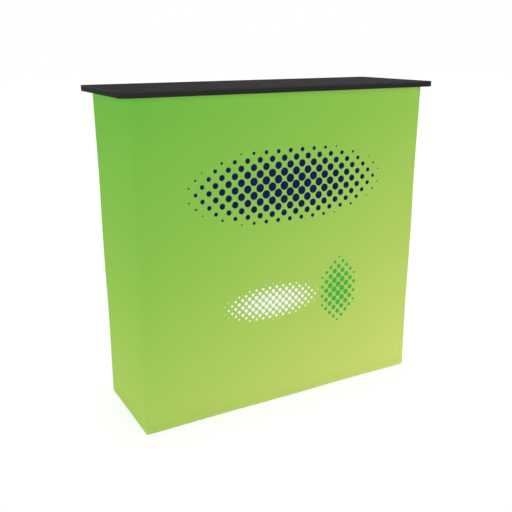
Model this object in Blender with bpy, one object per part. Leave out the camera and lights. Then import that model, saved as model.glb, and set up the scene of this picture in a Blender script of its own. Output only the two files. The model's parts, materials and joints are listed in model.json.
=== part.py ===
"""Portable exhibition counter: a folding scissor frame, a stretch-fabric skin and a lift-off worktop.

Sizes are in metres and +Z is up. The origin is on the floor under the middle of the counter, and -Y is
the front that faces the visitors. Every moving body has an empty on the axis that it turns about, and the
empties are parented to each other in the order in which the pieces carry one another.
"""

import math

import bmesh
import bpy
from mathutils import Matrix, Vector

# Lattice: one pitch across and up, so that every strut has one length and one fold angle
COLUMNS = ("left", "centre", "right")
ROWS = ("bottom", "middle", "top")
ACROSS_BAYS = ("left", "right")
UPRIGHT_BAYS = ("lower", "upper")
CELL_PITCH = 0.4475
LAYER_SPACING = 0.285

# Clearances
TOUCH_GAP = 0.0003
PIN_CLEARANCE = 0.0003
BOSS_CLEARANCE = 0.0025
PLATE_CLEARANCE = 0.0025
FUSE_DEPTH = 0.001
CUT_OVERRUN = 0.002
SEAM_MERGE = 0.00001

# Pivots
PIN_RADIUS = 0.0025
EYE_WALL = 0.0042
EYE_RADIUS = PIN_RADIUS + PIN_CLEARANCE + EYE_WALL
RIVET_HEAD_RADIUS = 0.004
RIVET_HEAD_HEIGHT = 0.0012

# Struts: an aluminium tube with a moulded fitting on each end
FITTING_THICKNESS = 0.010
FITTING_LENGTH = 0.034
TUBE_WIDTH = 0.012
TUBE_THICKNESS = 0.008
TUBE_CHAMFER = 0.0022
CROSSING_GAP = 0.002
SPACER_RADIUS = 0.0058
LANE_OFFSET = (FITTING_THICKNESS + CROSSING_GAP) / 2

# Hub moulding: a face plate, a boss and four clevises set in a pinwheel
BOSS_RADIUS = 0.0085
BOSS_REACH = 0.0085
BOSS_BORE_RADIUS = 0.0045
BOSS_BORE_DEPTH = 0.013
CHEEK_THICKNESS = 0.0025
CHEEK_WALL = 0.005
CHEEK_RADIUS = PIN_RADIUS + CHEEK_WALL
PLATE_THICKNESS = 0.0035
PLATE_RIM = 0.0015
PLATE_CORNER_RADIUS = 0.009
PLATE_CHAMFER = 0.002
PIN_OFFSET = BOSS_RADIUS + BOSS_CLEARANCE + EYE_RADIUS
HUB_SIDE = 2 * (PIN_OFFSET + CHEEK_RADIUS + PLATE_RIM)
FACE_TO_PIN = PLATE_THICKNESS + PLATE_CLEARANCE + EYE_RADIUS
CHEEK_OFFSET = FITTING_THICKNESS / 2 + TOUCH_GAP

# Feet: a rubber pad with a tongue that snaps over the lower pin of a bottom hub
FOOT_HEIGHT = 0.005
FOOT_WIDTH = 0.044
FOOT_CORNER_RADIUS = 0.006
FOOT_CHAMFER = 0.0012
FOOT_FRONT_MARGIN = 0.005
FOOT_REAR_MARGIN = 0.003
TONGUE_WIDTH = 0.011
TONGUE_LIP = 0.0035

# Lock posts: a magnet-tipped post in the boss of each middle hub, meeting halfway between the layers
POST_RADIUS = 0.0055
POST_FLANGE_RADIUS = 0.0082
POST_FLANGE_THICKNESS = 0.002
POST_TIP_RADIUS = 0.0095
POST_TIP_LENGTH = 0.018
POST_TIP_TAPER = 0.008
POST_TIP_CHAMFER = 0.001
SPIGOT_LENGTH = 0.011

# Fabric skin: one sheet round the front and both ends, returned behind the back hubs
SKIN_THICKNESS = 0.0012
SKIN_CORNER_RADIUS = SKIN_THICKNESS + TOUCH_GAP + PLATE_CHAMFER
SKIN_RETURN = 0.062
SKIN_FLOOR_GAP = 0.002

# Worktop: a board with an edge band, laid on the top hubs
WORKTOP_THICKNESS = 0.0165
WORKTOP_END_OVERHANG = 0.029
WORKTOP_LONG_OVERHANG = 0.021
WORKTOP_CORNER_RADIUS = 0.012
BAND_THICKNESS = 0.002
BAND_EDGE_CHAMFER = 0.0015

# Facets in a full turn
PIN_FACETS = 6
HOLE_FACETS = 8
EYE_FACETS = 8
CHEEK_FACETS = 6
BOSS_FACETS = 10
POST_FACETS = 10
CORNER_FACETS = 8
SKIN_CORNER_FACETS = 12
WORKTOP_CORNER_FACETS = 16

# Sizes of the whole that follow from the frame
FRAME_WIDTH = (len(COLUMNS) - 1) * CELL_PITCH + HUB_SIDE
SKIN_WIDTH = FRAME_WIDTH + 2 * (TOUCH_GAP + SKIN_THICKNESS)
SKIN_DEPTH = LAYER_SPACING + 2 * (FACE_TO_PIN + TOUCH_GAP + SKIN_THICKNESS)
FRAME_TOP = FOOT_HEIGHT + TOUCH_GAP + (len(ROWS) - 1) * CELL_PITCH + HUB_SIDE
WORKTOP_BOTTOM = FRAME_TOP + TOUCH_GAP
STRUT_LENGTH = math.hypot(CELL_PITCH - 2 * PIN_OFFSET, LAYER_SPACING)

# Names of the hub's sides, in quarter turns about the hub's axis
SIDES = ("right", "top", "left", "bottom")
OPPOSITE = {"right": "left", "left": "right", "top": "top", "bottom": "bottom"}
QUARTER_TURN = -math.pi / 2


def clear_scene():
    for old in list(bpy.data.objects):
        bpy.data.objects.remove(old, do_unlink=True)


def material(name, colour, roughness, metallic=0.0):
    made = bpy.data.materials.new(name)
    made.use_nodes = True
    shader = made.node_tree.nodes["Principled BSDF"]
    shader.inputs["Base Color"].default_value = (*colour, 1.0)
    shader.inputs["Roughness"].default_value = roughness
    shader.inputs["Metallic"].default_value = metallic
    made.diffuse_color = (*colour, 1.0)
    return made


def arc(centre, radius, start, end, facets):
    """Points on a circle from one angle to another, both ends included, at the given facets per turn."""
    steps = max(1, round(facets * abs(end - start) / math.tau))
    turns = [start + (end - start) * step / steps for step in range(steps + 1)]
    return [(centre[0] + radius * math.cos(a), centre[1] + radius * math.sin(a)) for a in turns]


def rounded_rectangle(width, height, radius, facets, centre=(0, 0)):
    """The outline of a rectangle with round corners, anticlockwise."""
    across = width / 2 - radius
    up = height / 2 - radius
    corners = ((across, up), (-across, up), (-across, -up), (across, -up))
    outline = []
    for turn, (x, y) in enumerate(corners):
        start = turn * math.pi / 2
        middle = (centre[0] + x, centre[1] + y)
        outline += arc(middle, radius, start, start + math.pi / 2, facets)
    return outline


def circle(centre, radius, facets):
    return arc(centre, radius, 0, math.tau, facets)[:-1]


def add_prism(shape, outline, low, high, place=None):
    """Adds a closed prism to the bmesh: the outline lies in XY and rises from low to high."""
    corners = [shape.verts.new((x, y, low)) for x, y in outline]
    base = shape.faces.new(corners)
    raised = bmesh.ops.extrude_face_region(shape, geom=[base])["geom"]
    top = [part for part in raised if isinstance(part, bmesh.types.BMVert)]
    bmesh.ops.translate(shape, vec=(0, 0, high - low), verts=top)
    faces = {face for vert in corners + top for face in vert.link_faces}
    bmesh.ops.recalc_face_normals(shape, faces=list(faces))
    if place is not None:
        bmesh.ops.transform(shape, matrix=place, verts=corners + top)


def chamfer(shape, edges, size):
    bmesh.ops.bevel(
        shape,
        geom=edges,
        offset=size,
        affect="EDGES",
        segments=1,
        profile=0.5,
        material=-1,
    )


def add_turned(shape, profile, facets, place=None):
    """Adds a closed turned body: the profile is (radius, height) from one pole on the Z axis to the other."""
    points = [shape.verts.new((radius, 0, height)) for radius, height in profile]
    edges = [shape.edges.new(pair) for pair in zip(points, points[1:])]
    before = set(shape.verts) - set(points)
    bmesh.ops.spin(
        shape,
        geom=points + edges,
        cent=(0, 0, 0),
        axis=(0, 0, 1),
        angle=math.tau,
        steps=facets,
        use_merge=True,
    )
    turned = [vert for vert in shape.verts if vert not in before]
    bmesh.ops.remove_doubles(shape, verts=turned, dist=SEAM_MERGE)
    turned = [vert for vert in shape.verts if vert not in before]
    faces = {face for vert in turned for face in vert.link_faces}
    bmesh.ops.recalc_face_normals(shape, faces=list(faces))
    if place is not None:
        bmesh.ops.transform(shape, matrix=place, verts=turned)


def mesh_of(shape, name):
    mesh = bpy.data.meshes.new(name)
    shape.to_mesh(mesh)
    shape.free()
    return mesh


def scratch_object(shape, name):
    made = bpy.data.objects.new(name, mesh_of(shape, name))
    bpy.context.scene.collection.objects.link(made)
    return made


def combined(name, base, joined=(), cut=()):
    """One mesh from shapes: the base, joined with some and cut by others."""
    body = scratch_object(base, name)
    helpers = []
    for operation, shapes in (("UNION", joined), ("DIFFERENCE", cut)):
        for shape in shapes:
            helper = scratch_object(shape, name + "_helper")
            helpers.append(helper)
            boolean = body.modifiers.new(operation.title(), "BOOLEAN")
            boolean.operation = operation
            boolean.solver = "EXACT"
            boolean.object = helper
    graph = bpy.context.evaluated_depsgraph_get()
    mesh = bpy.data.meshes.new_from_object(body.evaluated_get(graph))
    mesh.name = name
    for scratch in [body, *helpers]:
        bpy.data.objects.remove(scratch, do_unlink=True)
    return mesh


def hub_mesh(used_sides):
    """A hub moulding about its own centre: its plate faces -Y, and the struts lie on the +Y side.

    Each clevis stands to one side of the centre line, so four struts pass one another when they fold.
    """
    upright = Matrix.Rotation(math.pi / 2, 4, "X")
    plate = bmesh.new()
    outline = rounded_rectangle(HUB_SIDE, HUB_SIDE, PLATE_CORNER_RADIUS, CORNER_FACETS)
    add_prism(plate, outline, FACE_TO_PIN - PLATE_THICKNESS, FACE_TO_PIN, upright)
    face_level = PLATE_THICKNESS / 2 - FACE_TO_PIN
    rim = [edge for edge in plate.edges if all(vert.co.y < face_level for vert in edge.verts)]
    chamfer(plate, rim, PLATE_CHAMFER)

    boss = bmesh.new()
    boss_root = FACE_TO_PIN - PLATE_THICKNESS + FUSE_DEPTH
    add_prism(boss, circle((0, 0), BOSS_RADIUS, BOSS_FACETS), -BOSS_REACH, boss_root, upright)
    bore = bmesh.new()
    bore_mouth = -BOSS_REACH - CUT_OVERRUN
    bore_end = BOSS_BORE_DEPTH - BOSS_REACH
    add_prism(bore, circle((0, 0), BOSS_BORE_RADIUS, BOSS_FACETS), bore_mouth, bore_end, upright)

    cheeks = bmesh.new()
    pins = bmesh.new()
    root = PLATE_THICKNESS - FACE_TO_PIN - FUSE_DEPTH
    inner_edge = BOSS_RADIUS - FUSE_DEPTH
    cheek_outline = [
        (inner_edge, root),
        (PIN_OFFSET + CHEEK_RADIUS, root),
        *arc((PIN_OFFSET, 0), CHEEK_RADIUS, 0, math.pi, CHEEK_FACETS),
        (inner_edge, 0),
    ]
    pin_outline = circle((PIN_OFFSET, 0), PIN_RADIUS, PIN_FACETS)
    lane = -LANE_OFFSET
    outer_low = lane - CHEEK_OFFSET - CHEEK_THICKNESS
    inner_high = lane + CHEEK_OFFSET + CHEEK_THICKNESS
    pin_low = outer_low + CHEEK_THICKNESS / 2
    pin_high = inner_high - CHEEK_THICKNESS / 2
    for side in used_sides:
        turn = Matrix.Rotation(SIDES.index(side) * QUARTER_TURN, 4, "Y")
        add_prism(cheeks, cheek_outline, outer_low, lane - CHEEK_OFFSET, turn)
        add_prism(cheeks, cheek_outline, lane + CHEEK_OFFSET, inner_high, turn)
        add_prism(pins, pin_outline, pin_low, pin_high, turn)
    return combined("hub", plate, joined=(boss, cheeks, pins), cut=(bore,))


def tube_section():
    """The strut's tube in outline: a flat rectangle with its four edges taken off."""
    across = TUBE_WIDTH / 2
    up = TUBE_THICKNESS / 2
    quarter = [(across, up - TUBE_CHAMFER), (across - TUBE_CHAMFER, up)]
    left = [(-x, y) for x, y in reversed(quarter)]
    return quarter + left + [(x, -y) for x, y in reversed(quarter + left)]


def strut_mesh(carries_rivet):
    """A strut about its crossing: along X, with its pin holes along Z.

    One strut of a pair carries the spacer and the rivet of the crossing, and the other one has the hole.
    """
    half = STRUT_LENGTH / 2
    tube = bmesh.new()
    tube_half = half - FITTING_LENGTH + TUBE_WIDTH
    along = Matrix.Rotation(math.pi / 2, 4, "Y") @ Matrix.Rotation(math.pi / 2, 4, "Z")
    add_prism(tube, tube_section(), -tube_half, tube_half, along)

    fittings = bmesh.new()
    eyes = bmesh.new()
    sleeve_end = half - FITTING_LENGTH
    eye_half = FITTING_THICKNESS / 2
    for end in (0, math.pi):
        turn = Matrix.Rotation(end, 4, "Z")
        outline = [
            *arc((half, 0), EYE_RADIUS, -math.pi / 2, math.pi / 2, EYE_FACETS),
            (sleeve_end, EYE_RADIUS),
            (sleeve_end, -EYE_RADIUS),
        ]
        add_prism(fittings, outline, -eye_half, eye_half, turn)
        hole = circle((half, 0), PIN_RADIUS + PIN_CLEARANCE, HOLE_FACETS)
        add_prism(eyes, hole, -eye_half - CUT_OVERRUN, eye_half + CUT_OVERRUN, turn)

    tube_face = TUBE_THICKNESS / 2
    partner_face = 2 * LANE_OFFSET - tube_face
    if not carries_rivet:
        hole = circle((0, 0), PIN_RADIUS + PIN_CLEARANCE, HOLE_FACETS)
        add_prism(eyes, hole, -tube_face - CUT_OVERRUN, tube_face + CUT_OVERRUN)
        return combined("strut", tube, joined=(fittings,), cut=(eyes,))
    rivet = bmesh.new()
    head = 2 * LANE_OFFSET + tube_face + TOUCH_GAP
    profile = [
        (0, tube_face - FUSE_DEPTH),
        (SPACER_RADIUS, tube_face - FUSE_DEPTH),
        (SPACER_RADIUS, partner_face - TOUCH_GAP),
        (PIN_RADIUS, partner_face - TOUCH_GAP),
        (PIN_RADIUS, head),
        (RIVET_HEAD_RADIUS, head),
        (RIVET_HEAD_RADIUS, head + RIVET_HEAD_HEIGHT),
        (0, head + RIVET_HEAD_HEIGHT),
    ]
    add_turned(rivet, profile, HOLE_FACETS)
    return combined("strut", tube, joined=(fittings, rivet), cut=(eyes,))


def foot_mesh():
    """The foot in its hub's own frame: a pad under the plate, and a tongue notched for the lower pin."""
    pad = bmesh.new()
    top = -HUB_SIDE / 2 - TOUCH_GAP
    front = -FACE_TO_PIN + FOOT_FRONT_MARGIN
    back = CHEEK_RADIUS + FOOT_REAR_MARGIN
    middle = (0, (front + back) / 2)
    outline = rounded_rectangle(FOOT_WIDTH, back - front, FOOT_CORNER_RADIUS, CORNER_FACETS, middle)
    add_prism(pad, outline, top - FOOT_HEIGHT, top)
    sole = [edge for edge in pad.edges if all(vert.co.z < top - FOOT_HEIGHT / 2 for vert in edge.verts)]
    chamfer(pad, sole, FOOT_CHAMFER)
    tongue = bmesh.new()
    tongue_half = TONGUE_WIDTH / 2
    side_on = Matrix.Rotation(math.pi / 2, 4, "Y") @ Matrix.Rotation(math.pi / 2, 4, "Z")
    lip = -PIN_OFFSET + TONGUE_LIP
    outline = [
        (-tongue_half, top - FUSE_DEPTH),
        (tongue_half, top - FUSE_DEPTH),
        (tongue_half, lip),
        (-tongue_half, lip),
    ]
    lane = -LANE_OFFSET
    half = FITTING_THICKNESS / 2
    add_prism(tongue, outline, lane - half, lane + half, side_on)
    notch = bmesh.new()
    snap = PIN_RADIUS + PIN_CLEARANCE
    mouth = [(-snap, lip + CUT_OVERRUN), *arc((0, -PIN_OFFSET), snap, math.pi, math.tau, HOLE_FACETS)]
    mouth.append((snap, lip + CUT_OVERRUN))
    add_prism(notch, mouth, lane - half - CUT_OVERRUN, lane + half + CUT_OVERRUN, side_on)
    return combined("foot", pad, joined=(tongue,), cut=(notch,))


def post_mesh():
    """A lock post in its hub's own frame: the spigot sits in the boss and the magnet cup faces +Y."""
    post = bmesh.new()
    seat = BOSS_REACH + TOUCH_GAP
    shoulder = seat + POST_FLANGE_THICKNESS
    tip = (LAYER_SPACING - TOUCH_GAP) / 2
    cup = tip - POST_TIP_LENGTH
    spigot_radius = BOSS_BORE_RADIUS - TOUCH_GAP
    profile = [
        (0, seat - SPIGOT_LENGTH),
        (spigot_radius, seat - SPIGOT_LENGTH),
        (spigot_radius, seat),
        (POST_FLANGE_RADIUS, seat),
        (POST_FLANGE_RADIUS, shoulder),
        (POST_RADIUS, shoulder),
        (POST_RADIUS, cup - POST_TIP_TAPER),
        (POST_TIP_RADIUS, cup),
        (POST_TIP_RADIUS, tip - POST_TIP_CHAMFER),
        (POST_TIP_RADIUS - POST_TIP_CHAMFER, tip),
        (0, tip),
    ]
    add_turned(post, profile, POST_FACETS, Matrix.Rotation(-math.pi / 2, 4, "X"))
    return mesh_of(post, "lock_post")


def skin_path():
    """The skin's outer face in plan, from the edge of one back return round to the other."""
    side = SKIN_WIDTH / 2
    face = SKIN_DEPTH / 2
    radius = SKIN_CORNER_RADIUS
    quarter = math.pi / 2
    turns = (
        ((-side + radius, face - radius), quarter),
        ((-side + radius, -face + radius), 2 * quarter),
        ((side - radius, -face + radius), 3 * quarter),
        ((side - radius, face - radius), 4 * quarter),
    )
    path = [(SKIN_RETURN - side, face)]
    for centre, start in turns:
        path += arc(centre, radius, start, start + quarter, SKIN_CORNER_FACETS)
    path.append((side - SKIN_RETURN, face))
    return path


def skin_mesh():
    """The skin's outer face as an open wall; a Solidify gives it its thickness, inwards."""
    wall = bmesh.new()
    low = SKIN_FLOOR_GAP
    high = FRAME_TOP
    line = [wall.verts.new((x, y, low)) for x, y in skin_path()]
    edges = [wall.edges.new(pair) for pair in zip(line, line[1:])]
    raised = bmesh.ops.extrude_edge_only(wall, edges=edges)["geom"]
    top = [part for part in raised if isinstance(part, bmesh.types.BMVert)]
    bmesh.ops.translate(wall, vec=(0, 0, high - low), verts=top)
    wall.normal_update()
    front = min(wall.faces, key=lambda face: face.calc_center_median().y)
    if front.normal.y > 0:
        bmesh.ops.reverse_faces(wall, faces=wall.faces[:])
    return mesh_of(wall, "fabric_skin")


def worktop_outline(inset):
    width = SKIN_WIDTH + 2 * (WORKTOP_END_OVERHANG - inset)
    depth = SKIN_DEPTH + 2 * (WORKTOP_LONG_OVERHANG - inset)
    radius = WORKTOP_CORNER_RADIUS - inset
    return rounded_rectangle(width, depth, radius, WORKTOP_CORNER_FACETS)


def board_mesh():
    board = bmesh.new()
    top = WORKTOP_BOTTOM + WORKTOP_THICKNESS
    add_prism(board, worktop_outline(BAND_THICKNESS + TOUCH_GAP), WORKTOP_BOTTOM, top)
    return mesh_of(board, "worktop_board")


def band_mesh():
    """The edge band: a ring round the board, with its outer edges eased."""
    band = bmesh.new()
    top = WORKTOP_BOTTOM + WORKTOP_THICKNESS
    add_prism(band, worktop_outline(0), WORKTOP_BOTTOM, top)
    rims = [edge for edge in band.edges if edge.verts[0].co.z == edge.verts[1].co.z]
    chamfer(band, rims, BAND_EDGE_CHAMFER)
    window = bmesh.new()
    low = WORKTOP_BOTTOM - CUT_OVERRUN
    add_prism(window, worktop_outline(BAND_THICKNESS), low, top + CUT_OVERRUN)
    return combined("worktop_edge_band", band, cut=(window,))


def hub_centre(column, row, layer):
    """The middle of a hub, at the depth of its pins."""
    x = (column - (len(COLUMNS) - 1) / 2) * CELL_PITCH
    y = -LAYER_SPACING / 2 if layer == "front" else LAYER_SPACING / 2
    z = FOOT_HEIGHT + TOUCH_GAP + HUB_SIDE / 2 + row * CELL_PITCH
    return Vector((x, y, z))


def hub_place(column, row, layer):
    """Where a hub stands: a back hub is a front hub turned half round."""
    turn = Matrix.Rotation(0 if layer == "front" else math.pi, 4, "Z")
    return Matrix.Translation(hub_centre(column, row, layer)) @ turn


def strut_ends(family, column, row, reaches):
    """The two pin centres of a strut, from its lower or left end to its upper or right end."""
    starts = "front" if reaches == "back" else "back"
    lane = LANE_OFFSET if reaches == "back" else -LANE_OFFSET
    if family == "level":
        step = Vector((PIN_OFFSET, 0, 0))
        aside = Vector((0, 0, -lane))
        far = hub_centre(column + 1, row, reaches)
    else:
        step = Vector((0, 0, PIN_OFFSET))
        aside = Vector((lane, 0, 0))
        far = hub_centre(column, row + 1, reaches)
    near = hub_centre(column, row, starts)
    return near + step + aside, far - step + aside


def strut_place(family, column, row, reaches):
    """The strut's own X runs from its first pin to its second, and its own Z along its pins."""
    first, second = strut_ends(family, column, row, reaches)
    along = (second - first).normalized()
    pins = Vector((0, 0, 1)) if family == "level" else Vector((-1, 0, 0))
    axes = Matrix((along, pins.cross(along), pins)).transposed().to_4x4()
    return Matrix.Translation((first + second) / 2) @ axes


class Assembly:
    """Places the pieces and hangs each moving body on an empty at its pivot."""

    def __init__(self):
        self.pivots = {}

    def body(self, name, pivot, carrier=None):
        empty = bpy.data.objects.new(name + "_pivot", None)
        empty.empty_display_size = HUB_SIDE
        bpy.context.scene.collection.objects.link(empty)
        empty.location = pivot
        if carrier is not None:
            empty.parent = self.pivots[carrier][0]
            empty.location = pivot - self.pivots[carrier][1]
        self.pivots[name] = (empty, pivot)

    def piece(self, name, mesh, finish, body, place=None):
        made = bpy.data.objects.new(name, mesh)
        bpy.context.scene.collection.objects.link(made)
        if not mesh.materials:
            mesh.materials.append(finish)
        empty, pivot = self.pivots[body]
        made.parent = empty
        made.matrix_local = Matrix.Translation(-pivot) @ (place or Matrix())
        mesh.shade_smooth()
        mesh.set_sharp_from_angle(angle=math.radians(35))
        return made


def hub_name(column, row, layer):
    return f"hub_{layer}_{COLUMNS[column]}_{ROWS[row]}"


def level_name(column, row, reaches):
    return f"level_strut_{ROWS[row]}_{ACROSS_BAYS[column]}_to_{reaches}"


def upright_name(column, row, reaches):
    return f"upright_strut_{COLUMNS[column]}_{UPRIGHT_BAYS[row]}_to_{reaches}"


def used_sides(column, row, layer):
    """The sides of a hub with a clevis, named in the hub's own frame; the lowest one takes a strut or a foot."""
    used = ["bottom"]
    if column > 0:
        used.append("left")
    if column < len(COLUMNS) - 1:
        used.append("right")
    if row < len(ROWS) - 1:
        used.append("top")
    if layer == "back":
        used = [OPPOSITE[side] for side in used]
    return tuple(sorted(used))


def hang_bodies(assembly):
    """Every moving body on its pivot, from the front centre hub at the floor outwards and upwards."""
    middle = len(COLUMNS) // 2

    def crossing(family, column, row, reaches):
        first, second = strut_ends(family, column, row, reaches)
        return (first + second) / 2

    def upright_pair(column, row):
        back = upright_name(column, row, "back")
        front = upright_name(column, row, "front")
        start = strut_ends("upright", column, row, "back")[0]
        assembly.body(back, start, hub_name(column, row, "front"))
        assembly.body(front, crossing("upright", column, row, "front"), back)

    def level_pair(row, bay, outer, first, second, inner_end):
        """The pair between the centre column and an outer one; its first strut hangs on the front hub."""
        carrier = hub_name(middle, row, "front")
        first_name = level_name(bay, row, first)
        second_name = level_name(bay, row, second)
        first_ends = strut_ends("level", bay, row, first)
        second_ends = strut_ends("level", bay, row, second)
        assembly.body(first_name, first_ends[inner_end], carrier)
        assembly.body(second_name, crossing("level", bay, row, second), first_name)
        assembly.body(hub_name(outer, row, "back"), first_ends[1 - inner_end], first_name)
        assembly.body(hub_name(outer, row, "front"), second_ends[1 - inner_end], second_name)

    assembly.body(hub_name(middle, 0, "front"), hub_centre(middle, 0, "front"))
    for row in range(len(ROWS) - 1):
        upright_pair(middle, row)
        rising = upright_name(middle, row, "back")
        falling = upright_name(middle, row, "front")
        falling_ends = strut_ends("upright", middle, row, "front")
        if row == 0:
            assembly.body(hub_name(middle, 0, "back"), falling_ends[0], falling)
        assembly.body(hub_name(middle, row + 1, "front"), falling_ends[1], falling)
        rising_end = strut_ends("upright", middle, row, "back")[1]
        assembly.body(hub_name(middle, row + 1, "back"), rising_end, rising)
    for row in range(len(ROWS)):
        level_pair(row, 1, 2, "back", "front", 0)
        level_pair(row, 0, 0, "front", "back", 1)
    for column in (0, len(COLUMNS) - 1):
        for row in range(len(ROWS) - 1):
            upright_pair(column, row)
    seat = Vector((0, 0, WORKTOP_BOTTOM))
    assembly.body("worktop", seat, hub_name(middle, len(ROWS) - 1, "front"))


def build():
    clear_scene()
    moulded = material("black_moulded_plastic", (0.03, 0.03, 0.032), 0.55)
    anodised = material("anodised_aluminium", (0.62, 0.63, 0.65), 0.34, 1.0)
    rubber = material("black_rubber", (0.02, 0.02, 0.02), 0.8)
    lock_plastic = material("grey_lock_plastic", (0.16, 0.17, 0.18), 0.5)
    cloth = material("green_stretch_fabric", (0.30, 0.52, 0.09), 0.75)
    laminate = material("black_laminate", (0.042, 0.042, 0.042), 0.5)
    banding = material("black_edge_band", (0.026, 0.026, 0.027), 0.45)

    assembly = Assembly()
    hang_bodies(assembly)

    foot = foot_mesh()
    post = post_mesh()
    hubs = {}
    for layer in ("front", "back"):
        for column in range(len(COLUMNS)):
            for row in range(len(ROWS)):
                body = hub_name(column, row, layer)
                place = hub_place(column, row, layer)
                sides = used_sides(column, row, layer)
                if sides not in hubs:
                    hubs[sides] = hub_mesh(sides)
                assembly.piece(body, hubs[sides], moulded, body, place)
                if row == 0:
                    assembly.piece(f"foot_{layer}_{COLUMNS[column]}", foot, rubber, body, place)
                if row == len(ROWS) // 2:
                    name = f"lock_post_{layer}_{COLUMNS[column]}"
                    assembly.piece(name, post, lock_plastic, body, place)

    struts = {"back": strut_mesh(True), "front": strut_mesh(False)}
    for reaches, mesh in struts.items():
        for column in range(len(ACROSS_BAYS)):
            for row in range(len(ROWS)):
                name = level_name(column, row, reaches)
                place = strut_place("level", column, row, reaches)
                assembly.piece(name, mesh, anodised, name, place)
        for column in range(len(COLUMNS)):
            for row in range(len(UPRIGHT_BAYS)):
                name = upright_name(column, row, reaches)
                place = strut_place("upright", column, row, reaches)
                assembly.piece(name, mesh, anodised, name, place)

    root = hub_name(len(COLUMNS) // 2, 0, "front")
    skin = assembly.piece("fabric_skin", skin_mesh(), cloth, root)
    wall = skin.modifiers.new("Cloth thickness", "SOLIDIFY")
    wall.thickness = SKIN_THICKNESS
    wall.offset = -1
    wall.use_even_offset = True

    assembly.piece("worktop_board", board_mesh(), laminate, "worktop")
    assembly.piece("worktop_edge_band", band_mesh(), banding, "worktop")


build()
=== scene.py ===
"""Looks of the portable exhibition counter: a printed stretch-fabric skin round a folding aluminium lattice.

Sizes are in metres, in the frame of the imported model: +Z is up, and -Y is the front that faces the visitors.
"""

import json
import math

import bmesh
import bpy
from mathutils import Color, Matrix, Vector


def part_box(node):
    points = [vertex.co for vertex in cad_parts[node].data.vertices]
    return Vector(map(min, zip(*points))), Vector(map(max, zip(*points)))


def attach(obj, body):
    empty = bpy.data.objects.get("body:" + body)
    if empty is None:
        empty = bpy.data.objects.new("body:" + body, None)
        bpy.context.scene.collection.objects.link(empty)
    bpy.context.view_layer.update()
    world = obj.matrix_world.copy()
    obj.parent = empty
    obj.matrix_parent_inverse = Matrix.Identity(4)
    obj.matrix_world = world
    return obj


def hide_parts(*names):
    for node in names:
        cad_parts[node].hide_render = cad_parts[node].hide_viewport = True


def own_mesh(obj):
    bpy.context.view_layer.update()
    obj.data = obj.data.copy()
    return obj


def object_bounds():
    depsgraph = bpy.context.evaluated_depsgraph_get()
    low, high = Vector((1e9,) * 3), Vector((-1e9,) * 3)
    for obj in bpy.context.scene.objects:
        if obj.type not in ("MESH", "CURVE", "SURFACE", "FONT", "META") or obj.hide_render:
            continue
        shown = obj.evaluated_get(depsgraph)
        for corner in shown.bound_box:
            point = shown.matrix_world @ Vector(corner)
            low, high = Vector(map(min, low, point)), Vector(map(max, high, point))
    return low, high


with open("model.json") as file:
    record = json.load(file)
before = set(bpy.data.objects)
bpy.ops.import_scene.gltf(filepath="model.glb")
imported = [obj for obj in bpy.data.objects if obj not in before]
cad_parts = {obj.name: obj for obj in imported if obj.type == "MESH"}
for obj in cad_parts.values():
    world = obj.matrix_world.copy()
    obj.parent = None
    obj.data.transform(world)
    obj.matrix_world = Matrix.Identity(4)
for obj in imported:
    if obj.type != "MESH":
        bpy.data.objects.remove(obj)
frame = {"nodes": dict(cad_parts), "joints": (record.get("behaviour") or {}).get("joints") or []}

cad_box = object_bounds()

# Camera, in front of the counter and to its left
CAMERA_PLACE = Vector((-1.0400, -1.8199, 1.0828))
CAMERA_TURN = math.radians(-29.087)
CAMERA_DIP = math.radians(17.313)
CAMERA_ROLL = math.radians(-0.095)
CAMERA_LENS_MM = 47.884
CAMERA_SENSOR_MM = 36.0

# Studio
SKY_LEVEL_LOW = 2.95
SKY_LEVEL_HIGH = 0.3
SKY_BAND_FOOT = 0.03
SKY_BAND_HEAD = 0.32
FLOOR_SIDE = 40.0
FLOOR_DROP = 0.0002
FLOOR_TONE = 0.3
FLOOR_GLOW = 0.825
FLOOR_GLOW_SEEN = 0.784
SIDE_PLACE = Vector((-4.6, -0.8, 0.8))
SIDE_WATTS = 8.0
BACK_PLACE = Vector((2.6, 3.2, 1.6))
BACK_WATTS = 26.0
LAMP_SIDE = 2.2
OVERHEAD_LEVEL = 0.4
OVERHEAD_SPREAD = math.radians(12)
LIT_POINT = Vector((0, 0, 0.5))

# Skin
CLOTH_THICKNESS = 0.0012
CORNER_FOLD = 0.0035
RETURN_WIDTH = 0.062
HEM_DEPTH = 0.018
HEM_PROUD = 0.0004
HEM_STEP = 0.0012
CORNER_DRAW = 0.0012
EDGE_DRAW = 0.0012
DRAW_FADE = 0.08
CLOTH_ROW = 0.045
STITCH_LENGTH = 0.0023
STITCH_PITCH = 0.0036
STITCH_THREAD = 0.00045
STITCH_INSET = 0.0035
TAPE_THICKNESS = 0.0005
TAPE_WIDTH = 0.012
TAPE_MARGIN = 0.004

# Print on the skin, placed on the front from its middle and from the floor
GRADIENT_ACROSS = 0.37
GRADIENT_FALL = 0.63
DOT_SOFTNESS = 0.018
NAVY_FIELD = {"middle": (0.0, 0.69), "reach": (0.335, 0.118), "pitch": 0.0285, "largest_share": 0.47}
WHITE_FIELD = {"middle": (-0.055, 0.335), "reach": (0.17, 0.06), "pitch": 0.0165, "largest_share": 0.45}
GREEN_FIELD = {"middle": (0.185, 0.335), "reach": (0.075, 0.115), "pitch": 0.0215, "largest_share": 0.47}

# Knit of the cloth, and the rows of hooks on the tapes
WALE_WIDTH = 0.0011
COURSE_HEIGHT = 0.0009
LOOP_SLANT = 0.5
LOOP_SWELL = 0.25
RIDGE_CREST = 0.6
RIDGE_FALL = 0.4
HOOK_PITCH = 0.0016
HOOK_TURNS = math.tau / HOOK_PITCH

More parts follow.
